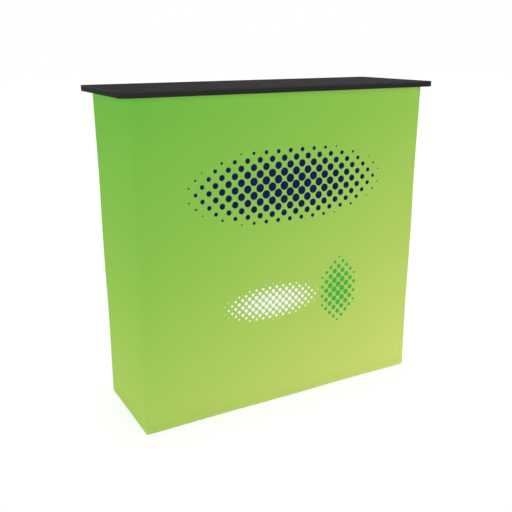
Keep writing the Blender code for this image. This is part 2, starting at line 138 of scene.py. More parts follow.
# Worktop
BOARD_CORNER = 0.012
BAND_THICKNESS = 0.002
BAND_EASING = 0.0016
# A painted highlight along the edge band's upper arris: how far below the top it reaches, how soft it fades,
# and how much paler it makes the band
PAINTED_HIGHLIGHT_DEPTH = 0.004
PAINTED_HIGHLIGHT_FADE = 0.0014
PAINTED_HIGHLIGHT_TONE = 1.65
PAD_SIDE = 0.038
PAD_THICKNESS = 0.00025
BACK_PAD_THICKNESS = 0.0012

# Struts
TUBE_WIDTH = 0.012
TUBE_THICKNESS = 0.008
TUBE_EDGE = 0.0022
FITTING_LENGTH = 0.034
FITTING_THICKNESS = 0.010
FITTING_EDGE = 0.0011
EYE_RADIUS = 0.007
EYE_BORE = 0.0028
NECK_WIDTH = 0.010
NECK_THICKNESS = 0.0088
NECK_REACH = 0.0045
GROOVE_WIDTH = 0.0022
GROOVE_DEPTH = 0.0006
GROOVE_PITCH = 0.005
GROOVES = 3
SPACER_RADIUS = 0.0058
RIVET_RADIUS = 0.0025
RIVET_HEAD_RADIUS = 0.004
RIVET_HEAD_HEIGHT = 0.0012
RIVET_STEPS = 20
PIN_STEPS = 18
SEAT_GAP = 0.0003

# Hubs
PLATE_THICKNESS = 0.0035
PLATE_CORNER = 0.009
PLATE_EDGE = 0.002
PLATE_RIM = 0.002
PLATE_RECESS = 0.0009
BOSS_RADIUS = 0.0085
BOSS_BORE = 0.0045
BOSS_REACH = 0.0085
BOSS_DEPTH = 0.013
CHEEK_RADIUS = 0.0075
CHEEK_THICKNESS = 0.0025
CHEEK_EDGE = 0.0004
WEB_OVERLAP = 0.001

# Lock posts
POST_RADIUS = 0.0055
POST_FLANGE_RADIUS = 0.0082
POST_FLANGE = 0.002
POST_TIP_RADIUS = 0.0095
POST_TIP_LENGTH = 0.018
POST_TAPER = 0.008
POST_EDGE = 0.001
SPIGOT_LENGTH = 0.011
MAGNET_RADIUS = 0.0068
MAGNET_DEPTH = 0.002
MAGNET_GAP = 0.0001

# Feet
FOOT_CORNER = 0.006
FOOT_EDGE = 0.0012

# Shared
TINY = 0.00001
SHARP_ANGLE = math.radians(38)
TURN_STEPS = 28
FLAT_ON = 0.9
QUARTER = math.pi / 2
EIGHTH = math.pi / 4
ALONG, ACROSS, UP = range(3)
UPRIGHT_TO_BACK = Matrix.Rotation(-QUARTER, 4, "X")

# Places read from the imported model
fold_joint = next(joint for joint in frame["joints"] if joint["name"] == "frame_fold")
first_pin = Vector(fold_joint["pos_m"])
SKIN_BODY = "hub_front_centre_bottom"
root_low, root_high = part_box(SKIN_BODY)
ROOT_MIDDLE = (root_low + root_high) / 2
HUB_SIDE = root_high.x - root_low.x
LANE = first_pin.x - ROOT_MIDDLE.x
PIN_REACH = first_pin.z - ROOT_MIDDLE.z
FACE_TO_PIN = first_pin.y - root_low.y
PIN_PLANE = first_pin.y
HUB_ROOT = PLATE_THICKNESS - FACE_TO_PIN - WEB_OVERLAP - PLATE_RECESS
HUB_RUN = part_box("hub_front_right_bottom")[0].x - root_low.x
HUB_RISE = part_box("hub_front_centre_middle")[0].z - root_low.z
skin_low, skin_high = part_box("fabric_skin")
SKIN_SIDE = skin_high.x
RETURN_EDGE = SKIN_SIDE - RETURN_WIDTH
SKIN_DEPTH = skin_high.y - skin_low.y
SKIN_HEIGHT = skin_high.z - skin_low.z
SKIN_GIRTH = 2 * (SKIN_SIDE + SKIN_DEPTH + RETURN_WIDTH)

LAYERS = ("front", "back")
COLUMNS = ("left", "centre", "right")
ROWS = ("bottom", "middle", "top")
BAY_HUBS = {
    "left": ("left", "centre"),
    "right": ("centre", "right"),
    "lower": ("bottom", "middle"),
    "upper": ("middle", "top"),
}
HUB_TURNS = {"right": 0, "top": 1, "left": 2, "bottom": 3}
OPPOSITE = {"right": "left", "left": "right", "top": "top", "bottom": "bottom"}


def ink(red, green, blue):
    """A colour as a screen shows it, each part from 0 to 255, as the shader wants it."""
    return (*Color((red / 255, green / 255, blue / 255)).from_srgb_to_scene_linear(), 1.0)


class Wiring:
    """The nodes of a finish or of the sky, with short calls that add and join them."""

    def __init__(self, tree):
        self.nodes = tree.nodes
        self.links = tree.links

    def feed(self, socket, value):
        """Links a socket to what feeds it, or sets it to a plain value."""
        if isinstance(value, bpy.types.NodeSocket):
            self.links.new(value, socket)
        elif value is not None:
            socket.default_value = value

    def node(self, kind, *inputs, **settings):
        made = self.nodes.new("ShaderNode" + kind)
        for name, value in settings.items():
            setattr(made, name, value)
        for socket, value in zip(made.inputs, inputs):
            self.feed(socket, value)
        return made

    def maths(self, operation, *inputs, clamp=False):
        return self.node("Math", *inputs, operation=operation, use_clamp=clamp).outputs[0]

    def seen(self):
        """1 on what the camera sees, in gloss and through glass too, and 0 on what only gives light."""
        path = self.node("LightPath")
        straight = self.maths("MAXIMUM", path.outputs["Is Camera Ray"], path.outputs["Is Glossy Ray"])
        return self.maths("MAXIMUM", straight, path.outputs["Is Transmission Ray"])


class Finish(Wiring):
    """A material in the making: its shader, and short calls for the patterns that feed it."""

    def __init__(self, name, roughness, metallic=0.0, specular=0.5):
        self.material = bpy.data.materials.new(name)
        self.material.use_nodes = True
        super().__init__(self.material.node_tree)
        self.shader = self.nodes["Principled BSDF"]
        self.shader.inputs["Roughness"].default_value = roughness
        self.shader.inputs["Metallic"].default_value = metallic
        self.shader.inputs["Specular IOR Level"].default_value = specular

    def vector(self, operation, *inputs):
        return self.node("VectorMath", *inputs, operation=operation).outputs["Vector"]

    def length(self, value):
        return self.node("VectorMath", value, operation="LENGTH").outputs["Value"]

    def place(self):
        return self.node("TexCoord").outputs["Object"]

    def cloth_place(self):
        """The cloth's own place: metres along its length and up from its lower edge."""
        return self.node("UVMap", uv_map="cloth").outputs["UV"]

    def pattern(self, kind, place, settings, **modes):
        """A texture or mapping node on a place, with its plain settings."""
        made = self.node(kind, **modes)
        self.feed(made.inputs["Vector"], place)
        for name, value in settings.items():
            made.inputs[name].default_value = value
        return made

    def noise(self, place, scale, detail=2.0, roughness=0.5):
        settings = {"Scale": scale, "Detail": detail, "Roughness": roughness}
        return self.pattern("TexNoise", place, settings).outputs["Fac"]

    def cells(self, place, scale):
        return self.pattern("TexVoronoi", place, {"Scale": scale}, feature="SMOOTH_F1").outputs["Distance"]

    def stretch(self, place, factors):
        """The same place with its axes scaled, so that a pattern on it is drawn out."""
        return self.pattern("Mapping", place, {"Scale": factors}).outputs["Vector"]

    def turn(self, place, angle, factors=(1.0, 1.0, 1.0)):
        """The same place scaled and then turned about Z."""
        settings = {"Rotation": (0, 0, angle), "Scale": factors}
        return self.pattern("Mapping", place, settings).outputs["Vector"]

    def spread(self, value, low, high):
        """A pattern from 0 to 1 set between two levels."""
        return self.maths("MULTIPLY_ADD", value, high - low, low)

    def blend(self, share, first, second):
        made = self.node("Mix", data_type="RGBA")
        colours = [socket for socket in made.inputs if socket.type == "RGBA"]
        self.feed(made.inputs[0], share)
        self.feed(colours[0], first)
        self.feed(colours[1], second)
        return next(socket for socket in made.outputs if socket.type == "RGBA")

    def shade(self, colour, level):
        """A colour made lighter or darker by a pattern about 1."""
        made = self.node("VectorMath", operation="SCALE")
        self.feed(made.inputs[0], colour)
        self.feed(made.inputs["Scale"], level)
        return made.outputs["Vector"]

    def ramp(self, value, *stops):
        made = self.node("ValToRGB")
        self.feed(made.inputs["Fac"], value)
        for place, colour in stops[1:-1]:
            made.color_ramp.elements.new(place)
        for element, (place, colour) in zip(made.color_ramp.elements, stops):
            element.position = place
            element.color = colour
        return made.outputs["Color"]

    def relief(self, *layers):
        """Bump from one or more patterns, each with its height in metres."""
        normal = None
        for height, distance in layers:
            made = self.node("Bump")
            made.inputs["Distance"].default_value = distance
            self.feed(made.inputs["Height"], height)
            self.feed(made.inputs["Normal"], normal)
            normal = made.outputs["Normal"]
        self.feed(self.shader.inputs["Normal"], normal)

    def colour(self, value):
        self.feed(self.shader.inputs["Base Color"], value)

    def roughness(self, value):
        self.feed(self.shader.inputs["Roughness"], value)

    def sheen(self, weight, roughness):
        self.shader.inputs["Sheen Weight"].default_value = weight
        self.shader.inputs["Sheen Roughness"].default_value = roughness

    def knit(self):
        """Height of the knitted loops, from 0 to about 1: columns of small chevrons."""
        parts = self.node("SeparateXYZ", self.cloth_place())
        wale = self.maths("FRACT", self.maths("DIVIDE", parts.outputs["X"], WALE_WIDTH))
        ridge = self.maths("ABSOLUTE", self.maths("MULTIPLY_ADD", wale, 2.0, -1.0))
        course = self.maths("DIVIDE", parts.outputs["Y"], COURSE_HEIGHT)
        slant = self.maths("MULTIPLY_ADD", ridge, LOOP_SLANT, course)
        loops = self.maths("SINE", self.maths("MULTIPLY", slant, math.tau))
        ridges = self.maths("MULTIPLY_ADD", ridge, -RIDGE_FALL, RIDGE_CREST)
        return self.maths("MULTIPLY_ADD", loops, LOOP_SWELL, ridges)


def printed_gradient(finish):
    """The print's ground: green at the upper left, running evenly to yellow-green at the lower right."""
    parts = finish.node("SeparateXYZ", finish.cloth_place())
    from_left = finish.maths("SUBTRACT", parts.outputs["X"], RETURN_WIDTH + SKIN_DEPTH)
    across = finish.maths("DIVIDE", from_left, 2 * SKIN_SIDE, clamp=True)
    fall = finish.maths("MULTIPLY_ADD", parts.outputs["Y"], -1 / SKIN_HEIGHT, 1.0)
    from_top = finish.maths("MULTIPLY", fall, GRADIENT_FALL)
    share = finish.maths("MULTIPLY_ADD", across, GRADIENT_ACROSS, from_top)
    return finish.ramp(
        share,
        (0.0, ink(109, 182, 69)),
        (0.33, ink(142, 193, 80)),
        (0.67, ink(177, 207, 99)),
        (1.0, ink(209, 221, 118)),
    )


def dot_field(finish, middle, reach, pitch, largest_share):
    """How much of the cloth a field of printed dots covers: a slanting lattice whose dots shrink outwards."""
    home = (RETURN_WIDTH + SKIN_DEPTH + SKIN_SIDE + middle[0], middle[1] - skin_low.z, 0)
    local = finish.vector("SUBTRACT", finish.cloth_place(), home)
    lattice = finish.turn(local, EIGHTH, (1 / pitch, 1 / pitch, 0))
    corner = finish.vector("FLOOR", lattice)
    half_cell = (0.5, 0.5, 0)
    in_cell = finish.vector("SUBTRACT", finish.vector("SUBTRACT", lattice, corner), half_cell)
    straight = finish.turn(finish.vector("ADD", corner, half_cell), -EIGHTH)
    shares = finish.vector("MULTIPLY", straight, (pitch / reach[0], pitch / reach[1], 0))
    far = finish.length(shares)
    fullness = finish.maths("SUBTRACT", 1.0, finish.maths("MULTIPLY", far, far), clamp=True)
    radius = finish.maths("MULTIPLY", finish.maths("SQRT", fullness), largest_share)
    inside = finish.maths("SUBTRACT", radius, finish.length(in_cell))
    return finish.maths("DIVIDE", inside, DOT_SOFTNESS, clamp=True)


def printed_cloth():
    """The printed side of the stretch cloth: a gradient, fields of dots, and the knit under them, with painted
    shade in the knit's hollows.
    """
    finish = Finish("printed_stretch_cloth", roughness=0.85, specular=0.005)
    ground = printed_gradient(finish)
    colour = finish.blend(dot_field(finish, **NAVY_FIELD), ground, ink(24, 28, 80))
    colour = finish.blend(dot_field(finish, **WHITE_FIELD), colour, ink(248, 250, 246))
    colour = finish.blend(dot_field(finish, **GREEN_FIELD), colour, ink(70, 174, 74))
    knit = finish.knit()
    dye = finish.noise(finish.cloth_place(), scale=60.0, detail=3.0)
    pull = finish.noise(finish.stretch(finish.cloth_place(), (9.0, 160.0, 1.0)), scale=1.0)
    # Painted shade: the colour is darker in the hollows of the knit and lighter on its loops.
    colour = finish.shade(colour, finish.spread(knit, 0.95, 1.045))
    colour = finish.shade(colour, finish.spread(dye, 0.985, 1.015))
    finish.colour(finish.shade(colour, finish.spread(pull, 0.99, 1.01)))
    finish.roughness(finish.spread(knit, 0.9, 0.78))
    finish.relief((knit, 0.0001), (pull, 0.00004))
    finish.sheen(weight=0.01, roughness=0.5)
    return finish.material


def cloth_reverse():
    """The unprinted side of the cloth, where a little of the dye shows through, with painted shade in the
    knit's hollows.
    """
    finish = Finish("cloth_reverse", roughness=0.85, specular=0.1)
    ghost = finish.blend(0.16, ink(240, 242, 238), printed_gradient(finish))
    knit = finish.knit()
    dye = finish.noise(finish.cloth_place(), scale=45.0, detail=3.0)
    # Painted shade: the colour is darker in the hollows of the knit and lighter on its loops.
    colour = finish.shade(ghost, finish.spread(knit, 0.94, 1.04))
    finish.colour(finish.shade(colour, finish.spread(dye, 0.97, 1.02)))
    finish.relief((knit, 0.00007))
    finish.sheen(weight=0.1, roughness=0.5)
    return finish.material


def sewing_thread():
    """Green thread, a little uneven in its dye, with a twisted surface."""
    finish = Finish("sewing_thread", roughness=0.6, specular=0.3)
    tone = finish.noise(finish.place(), scale=700.0)
    finish.colour(finish.blend(tone, ink(126, 186, 84), ink(150, 204, 100)))
    finish.relief((finish.noise(finish.place(), scale=4000.0), 0.00004))
    return finish.material


def hook_tape(name, dark, light):
    """Woven tape with rows of small hooks or loops, with painted shade between the hooks, and a little uneven
    from use.
    """
    finish = Finish(name, roughness=0.9, specular=0.1)
    worn = finish.noise(finish.place(), scale=260.0, detail=3.0)
    rows = finish.vector("SINE", finish.stretch(finish.place(), (HOOK_TURNS,) * 3))
    parts = finish.node("SeparateXYZ", rows)
    across = finish.maths("ADD", parts.outputs["X"], parts.outputs["Y"])
    hooks = finish.maths("MULTIPLY", across, parts.outputs["Z"])
    # Painted shade between the rows of hooks, lighter on the hooks themselves, with uneven wear on top.
    hook_shade_and_wear = finish.maths("ADD", finish.spread(hooks, 0.5, 0.75), finish.spread(worn, -0.3, 0.3), clamp=True)
    finish.colour(finish.blend(hook_shade_and_wear, dark, light))
    finish.relief((hook_shade_and_wear, 0.00018))
    finish.sheen(weight=0.2, roughness=0.4)
    return finish.material


def worktop_laminate():
    """Charcoal laminate with a fine pebbled face and the faint wiped marks of use."""
    finish = Finish("charcoal_laminate", roughness=0.85, specular=0.01)
    pebble = finish.cells(finish.place(), 750.0)
    speckle = finish.noise(finish.place(), scale=420.0, detail=4.0, roughness=0.65)
    wiped = finish.noise(finish.stretch(finish.place(), (2.2, 7.0, 1.0)), scale=1.0, detail=4.0)
    colour = finish.blend(speckle, ink(39, 39, 39), ink(53, 53, 53))
    finish.colour(finish.shade(colour, finish.spread(wiped, 0.93, 1.07)))
    finish.roughness(finish.spread(wiped, 0.8, 1.0))
    finish.relief((pebble, 0.00005))
    return finish.material


def edge_banding():
    """Plastic band with drawn lines along it, a little scuffed, and with a painted highlight along its upper
    arris.
    """
    finish = Finish("black_edge_banding", roughness=0.5, specular=0.004)
    drawn = finish.noise(finish.stretch(finish.place(), (6.0, 6.0, 1400.0)), scale=1.0)
    scuffs = finish.noise(finish.place(), scale=55.0, detail=5.0, roughness=0.7)
    rubbed = finish.maths("SMOOTH_MIN", finish.maths("POWER", scuffs, 3.0), 0.5, 0.1)
    height = finish.node("SeparateXYZ", finish.place()).outputs["Z"]
    below_top = finish.maths("SUBTRACT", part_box("worktop_edge_band")[1].z, height)
    # Painted highlight: the band's colour is made paler near its top, where light from above falls on the
    # eased arris.
    painted_arris_highlight = finish.maths("MULTIPLY_ADD", below_top, -1 / PAINTED_HIGHLIGHT_FADE, PAINTED_HIGHLIGHT_DEPTH / PAINTED_HIGHLIGHT_FADE, clamp=True)
    colour = finish.blend(drawn, ink(39, 39, 39), ink(46, 46, 46))
    colour = finish.shade(colour, finish.spread(painted_arris_highlight, 1.0, PAINTED_HIGHLIGHT_TONE))
    finish.colour(finish.shade(colour, finish.spread(rubbed, 0.95, 1.3)))
    finish.roughness(finish.spread(scuffs, 0.4, 0.56))
    finish.relief((drawn, 0.00003))
    return finish.material


def anodised_tube():
    """Satin anodised aluminium, drawn along its length and a little scratched."""
    finish = Finish("anodised_tube", roughness=0.34, metallic=1.0)
    place = finish.node("UVMap", uv_map="length").outputs["UV"]
    drawn = finish.noise(finish.stretch(place, (8.0, 2600.0, 1.0)), scale=1.0, detail=3.0)
    cloud = finish.noise(finish.place(), scale=30.0, detail=3.0)
    scratch = finish.noise(finish.stretch(place, (260.0, 900.0, 1.0)), scale=1.0, detail=5.0, roughness=0.75)
    colour = finish.blend(drawn, ink(186, 188, 192), ink(214, 216, 219))
    finish.colour(finish.shade(colour, finish.spread(cloud, 0.94, 1.04)))
    satin = finish.spread(drawn, 0.24, 0.42)
    finish.roughness(finish.maths("ADD", satin, finish.spread(scratch, -0.05, 0.08)))
    finish.relief((drawn, 0.00002))
    return finish.material


def moulded_nylon(name, dark, light, rough):
    """Fine spark-textured moulding with flow marks and polished spots from handling."""
    finish = Finish(name, roughness=rough, specular=0.4)
    texture = finish.noise(finish.place(), scale=2600.0)
    flow = finish.noise(finish.place(), scale=38.0, detail=4.0, roughness=0.6)
    finish.colour(finish.blend(flow, dark, light))
    finish.roughness(finish.spread(flow, rough - 0.09, rough + 0.1))
    finish.relief((texture, 0.00005))
    return finish.material


def bright_steel(name, rough):
    """Plated steel with a polish that varies a little."""
    finish = Finish(name, roughness=rough, metallic=1.0)
    polish = finish.noise(finish.place(), scale=500.0, detail=4.0)
    finish.colour(finish.blend(polish, ink(176, 177, 180), ink(216, 217, 220)))
    finish.roughness(finish.spread(polish, rough - 0.08, rough + 0.1))
    finish.relief((polish, 0.00002))
    return finish.material


def sole_rubber():
    """Matt black rubber, dusty in patches."""
    finish = Finish("sole_rubber", roughness=0.8, specular=0.25)
    grain = finish.noise(finish.place(), scale=1500.0, detail=3.0)
    dust = finish.noise(finish.place(), scale=60.0, detail=5.0, roughness=0.65)
    finish.colour(finish.blend(dust, ink(26, 26, 26), ink(44, 43, 41)))
    finish.roughness(finish.spread(dust, 0.72, 0.92))
    finish.relief((grain, 0.00006))
    return finish.material


def studio_floor():
    """A pale floor that lies white round the counter and keeps its shadow."""
    finish = Finish("studio_floor", roughness=0.9, specular=0.0)
    finish.colour((FLOOR_TONE, FLOOR_TONE, FLOOR_TONE, 1.0))
    finish.shader.inputs["Emission Color"].default_value = (1.0, 1.0, 1.0, 1.0)
    glow = finish.spread(finish.seen(), FLOOR_GLOW, FLOOR_GLOW_SEEN)
    finish.feed(finish.shader.inputs["Emission Strength"], glow)
    return finish.material


def soften(shape, edges, size, segments=2):
    """Rounds some edges of a shape."""
    bmesh.ops.bevel(
        shape, geom=edges, offset=size, affect="EDGES", segments=segments, profile=0.5, material=-1
    )


def edges_along(shape, axis):
    """The edges of a shape that run along one axis."""
    spans = [(edge, edge.verts[0].co - edge.verts[1].co) for edge in shape.edges]
    others = [other for other in range(3) if other != axis]
    return [edge for edge, span in spans if all(abs(span[other]) < TINY for other in others)]


def rim_edges(shape, axis, level):
    """The edges of a shape that lie at one level of an axis."""
    return [edge for edge in shape.edges if all(abs(vert.co[axis] - level) < TINY for vert in edge.verts)]


def move(shape, place):
    """Moves or turns a whole shape."""
    bmesh.ops.transform(shape, matrix=place, verts=shape.verts)


def block(low, high):
    """A plain block between two corners."""
    shape = bmesh.new()
    low, high = Vector(low), Vector(high)
    bmesh.ops.create_cube(shape, size=1)
    bmesh.ops.scale(shape, vec=high - low, verts=shape.verts)
    move(shape, Matrix.Translation((low + high) / 2))
    return shape


def turned(profile, steps=TURN_STEPS, ring=False):
    """A turned shape about Z. The profile is (radius, height), and a ring's profile closes on itself."""
    shape = bmesh.new()
    points = [shape.verts.new((radius, 0, height)) for radius, height in profile]
    ends = zip(points, points[1:] + points[:1] if ring else points[1:])
    line = [shape.edges.new(pair) for pair in ends]
    bmesh.ops.spin(
        shape,
        geom=points + line,
        cent=(0, 0, 0),
        axis=(0, 0, 1),
        angle=math.tau,
        steps=steps,
        use_merge=True,
    )
    bmesh.ops.remove_doubles(shape, verts=shape.verts, dist=TINY)
    bmesh.ops.recalc_face_normals(shape, faces=shape.faces)
    return shape


def add(shape, part, place=None):
    """Adds one shape to another, moved to its place."""
    if place is not None:
        move(part, place)
    held = bpy.data.meshes.new("held")
    part.to_mesh(held)
    part.free()
    shape.from_mesh(held)
    bpy.data.meshes.remove(held)


def cut_across(shape, axis, level):
    """Adds a line of points across a shape at one level of an axis."""
    normal = Vector((0, 0, 0))
    normal[axis] = 1
    everything = shape.verts[:] + shape.edges[:] + shape.faces[:]
    bmesh.ops.bisect_plane(shape, geom=everything, dist=TINY, plane_co=normal * level, plane_no=normal)


def in_scene(name, data):
    """A new object in the scene, at the origin."""
    made = bpy.data.objects.new(name, data)
    bpy.context.scene.collection.objects.link(made)
    return made


def as_mesh(name, shape, *finishes):
    """Ends the work on a shape: its mesh, with its finishes."""
    mesh = bpy.data.meshes.new(name)
    shape.to_mesh(mesh)
    shape.free()
    for finish in finishes:
        mesh.materials.append(finish)
    return mesh


def piece(name, shape, body, *finishes, slot=None, replaces=None):
    """A finished piece that rides on its body, with its place in its mesh. Its open edges stay crisp."""
    shape.edges.index_update()
    rims = [edge.index for edge in shape.edges if edge.is_boundary]
    mesh = as_mesh(name, shape, *finishes)
    mesh.shade_smooth()
    mesh.set_sharp_from_angle(angle=SHARP_ANGLE)
    for rim in rims:
        mesh.edges[rim].use_edge_sharp = True
    made = in_scene(name, mesh)
    if replaces:
        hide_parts(replaces)
    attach(made, body)
    return made


def follow_fold(made):
    """Gives the cloth, or a piece sewn to it, a mesh of its own."""
    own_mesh(made)
    return made


def hub_centre(layer, column, row):
    """The middle of a hub, at the depth of its pins."""
    across = (COLUMNS.index(column) - 1) * HUB_RUN
    depth = PIN_PLANE if layer == "front" else -PIN_PLANE
    return Vector((across, depth, ROOT_MIDDLE.z + ROWS.index(row) * HUB_RISE))


def strut_ends(family, line, bay, reaches):
    """The two pin centres of a strut, from its lower or left end to its upper or right end."""
    starts = "front" if reaches == "back" else "back"
    lane = LANE if reaches == "back" else -LANE
    near, far = BAY_HUBS[bay]
    if family == "level":
        first, second = hub_centre(starts, near, line), hub_centre(reaches, far, line)
        step, aside = Vector((PIN_REACH, 0, 0)), Vector((0, 0, -lane))
    else:
        first, second = hub_centre(starts, line, near), hub_centre(reaches, line, far)
        step, aside = Vector((0, 0, PIN_REACH)), Vector((lane, 0, 0))
    return first + step + aside, second - step + aside


def strut_place(family, first, second):
    """A frame at a strut's crossing: X runs along it and Z along its pins."""
    along = (second - first).normalized()
    pins = Vector((0, 0, 1)) if family == "level" else Vector((-1, 0, 0))
    axes = Matrix((along, pins.cross(along), pins)).transposed().to_4x4()
    return Matrix.Translation((first + second) / 2) @ axes


def cloth_panels():
    """The skin's flat stretches, each with its start, direction, outward side and length, in plan."""
    left, right = -SKIN_SIDE, SKIN_SIDE
    front, back = skin_low.y, skin_high.y
    turns = (
        ((-RETURN_EDGE, back), (left, back), (0, 1)),
        ((left, back), (left, front), (-1, 0)),
        ((left, front), (right, front), (0, -1)),
        ((right, front), (right, back), (1, 0)),
        ((right, back), (RETURN_EDGE, back), (0, 1)),
    )
    for start, end, outward in turns:
        start, end = Vector((*start, 0)), Vector((*end, 0))
        yield start, (end - start).normalized(), Vector((*outward, 0)), (end - start).length


def lay_cloth(shape):
    """Gives the cloth its own place: metres along its length and up from its lower edge."""
    layer = shape.loops.layers.uv.new("cloth")
    for face in shape.faces:
        normal = face.normal
        for loop in face.loops:
            x, y, z = loop.vert.co
            if abs(normal.x) > abs(normal.y):
                past_left = RETURN_WIDTH + skin_high.y - y
                past_right = RETURN_WIDTH + SKIN_DEPTH + 2 * SKIN_SIDE + y - skin_low.y
                along = past_left if normal.x < 0 else past_right
            elif normal.y < 0:
                along = RETURN_WIDTH + SKIN_DEPTH + x + SKIN_SIDE
            elif x < 0:
                along = -RETURN_EDGE - x
            else:
                along = SKIN_GIRTH - (x - RETURN_EDGE)
            loop[layer].uv = (along, z - skin_low.z)


def draw_in(co):
    """How the tight cloth lies: a little hollow between the hubs along its corners and its lower edge."""
    rise = (co.z - ROOT_MIDDLE.z) / HUB_RISE
    run = co.x / HUB_RUN
    to_side = SKIN_SIDE - abs(co.x)
    to_face = min(co.y - skin_low.y, skin_high.y - co.y)
    hollow = CORNER_DRAW * math.sin(math.pi * rise) ** 2 * math.exp(-(to_side + to_face) / DRAW_FADE)
    moved = Vector(co)
    moved.x -= math.copysign(hollow, co.x)
    moved.y -= math.copysign(hollow, co.y)
    moved.z += EDGE_DRAW * math.sin(math.pi * run) ** 2 * math.exp(-(co.z - skin_low.z) / DRAW_FADE)
    return moved


def skin_sheet():
    """The cloth laid round the front, the ends and the back returns, with points over it to draw it in by."""
    shape = block(skin_low, skin_high)
    soften(shape, edges_along(shape, UP), CORNER_FOLD, segments=6)
    lids = [face for face in shape.faces if abs(face.normal.z) > FLAT_ON]
    bmesh.ops.delete(shape, geom=lids, context="FACES")
    for edge in (-RETURN_EDGE, RETURN_EDGE):
        cut_across(shape, ALONG, edge)
    spare = []
    for face in shape.faces:
        middle = face.calc_center_median()
        if middle.y > skin_high.y - TINY and abs(middle.x) < RETURN_EDGE:
            spare.append(face)
    bmesh.ops.delete(shape, geom=spare, context="FACES")
    corners = (-SKIN_SIDE, skin_low.y, skin_low.z), (SKIN_SIDE, skin_high.y, skin_high.z)
    for axis, (low, high) in enumerate(zip(*corners)):
        steps = round((high - low) / CLOTH_ROW)
        for step in range(1, steps):
            cut_across(shape, axis, low + (high - low) * step / steps)
    for level in (HEM_DEPTH - HEM_STEP, HEM_DEPTH):
        cut_across(shape, UP, skin_low.z + level)
        cut_across(shape, UP, skin_high.z - level)
        for side in (-1, 1):
            cut_across(shape, ALONG, side * (RETURN_EDGE + level))
    shape.normal_update()
    lay_cloth(shape)
    return shape


def stretch_skin(outside, reverse):
    """The skin: one sheet of cloth, hemmed all round and pulled tight on the hubs."""
    shape = skin_sheet()
    hem_line = HEM_DEPTH - HEM_STEP / 2
    for vert in shape.verts:
        on_return = vert.co.y > skin_high.y - TINY and abs(vert.co.x) < RETURN_EDGE + hem_line
        at_edge = min(vert.co.z - skin_low.z, skin_high.z - vert.co.z) < hem_line
        proud = vert.normal * HEM_PROUD if on_return or at_edge else Vector((0, 0, 0))
        vert.co = draw_in(vert.co) + proud
    finishes = (outside, reverse)
    made = piece("stretch_skin", shape, SKIN_BODY, *finishes, slot="skin_fabric", replaces="fabric_skin")
    wall = made.modifiers.new("Cloth thickness", "SOLIDIFY")
    wall.thickness = CLOTH_THICKNESS
    wall.offset = -1
    wall.use_even_offset = True
    wall.material_offset = 1
    return follow_fold(made)


def stitch_row(shape, start, along, outward, length):
    """Adds a row of stitches: grains of thread that lie along it, evenly spaced."""
    count = int(length / STITCH_PITCH)
    first = start + along * (length - (count - 1) * STITCH_PITCH) / 2
    turn = Matrix((along, outward, along.cross(outward))).transposed().to_4x4()
    grain = Matrix.Diagonal((STITCH_LENGTH / 2, STITCH_THREAD / 2, STITCH_THREAD / 2, 1))
    row = bmesh.new()
    place = Matrix.Translation(first) @ turn @ grain
    bmesh.ops.create_icosphere(row, subdivisions=1, radius=1, matrix=place)
    bmesh.ops.spin(
        row,
        geom=row.verts[:] + row.edges[:] + row.faces[:],
        cent=first,
        axis=along,
        dvec=along * STITCH_PITCH,
        angle=0,
        steps=count - 1,
        use_duplicate=True,
    )
    add(shape, row)


def hem_stitches(thread):
    """Rows of stitches along the lower and upper hems and up the edges of the returns."""
    shape = bmesh.new()
    line = HEM_DEPTH - STITCH_INSET
    for start, along, outward, length in cloth_panels():
        first = start + along * CORNER_FOLD + outward * HEM_PROUD
        for height in (skin_low.z + line, skin_high.z - line):
            stitch_row(shape, first + Vector((0, 0, height)), along, outward, length - 2 * CORNER_FOLD)
    for side in (-1, 1):
        foot = Vector((side * (RETURN_EDGE + line), skin_high.y + HEM_PROUD, skin_low.z + HEM_DEPTH))
        stitch_row(shape, foot, Vector((0, 0, 1)), Vector((0, 1, 0)), SKIN_HEIGHT - 2 * HEM_DEPTH)
    for vert in shape.verts:
        vert.co = draw_in(vert.co)
    return follow_fold(piece("hem_stitches", shape, SKIN_BODY, thread, slot="skin_fabric"))


def sewn_tape(finish):
    """The loop tape sewn inside the lower and upper hems, which grips the hook pads of the hubs."""
    shape = bmesh.new()
    inside = CLOTH_THICKNESS - HEM_PROUD
    for start, along, outward, length in cloth_panels():
        for low in (skin_low.z + TAPE_MARGIN, skin_high.z - TAPE_MARGIN - TAPE_WIDTH):
            inner = start - outward * (inside + TAPE_THICKNESS) + along * TAPE_MARGIN
            outer = start - outward * inside + along * (length - TAPE_MARGIN)
            corners = (inner + Vector((0, 0, low)), outer + Vector((0, 0, low + TAPE_WIDTH)))
            add(shape, block([min(pair) for pair in zip(*corners)], [max(pair) for pair in zip(*corners)]))
    return follow_fold(piece("sewn_loop_tape", shape, SKIN_BODY, finish, slot="skin_fabric"))


def edge_band(finish):
    """The worktop's edge band: a slab with round corners and eased arrises, hollowed to a ring."""
    low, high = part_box("worktop_edge_band")
    shape = block(low, high)
    soften(shape, edges_along(shape, UP), BOARD_CORNER, segments=12)
    soften(shape, rim_edges(shape, UP, low.z) + rim_edges(shape, UP, high.z), BAND_EASING, segments=4)
    lids = [face for face in shape.faces if len(face.verts) > 4]
    bmesh.ops.inset_individual(shape, faces=lids, thickness=BAND_THICKNESS - BAND_EASING)
    rims = [edge for face in lids for edge in face.edges]
    bmesh.ops.delete(shape, geom=lids, context="FACES_ONLY")
    bmesh.ops.bridge_loops(shape, edges=rims)
    bmesh.ops.recalc_face_normals(shape, faces=shape.faces)
    piece("edge_band", shape, "worktop", finish, slot="worktop_banding", replaces="worktop_edge_band")


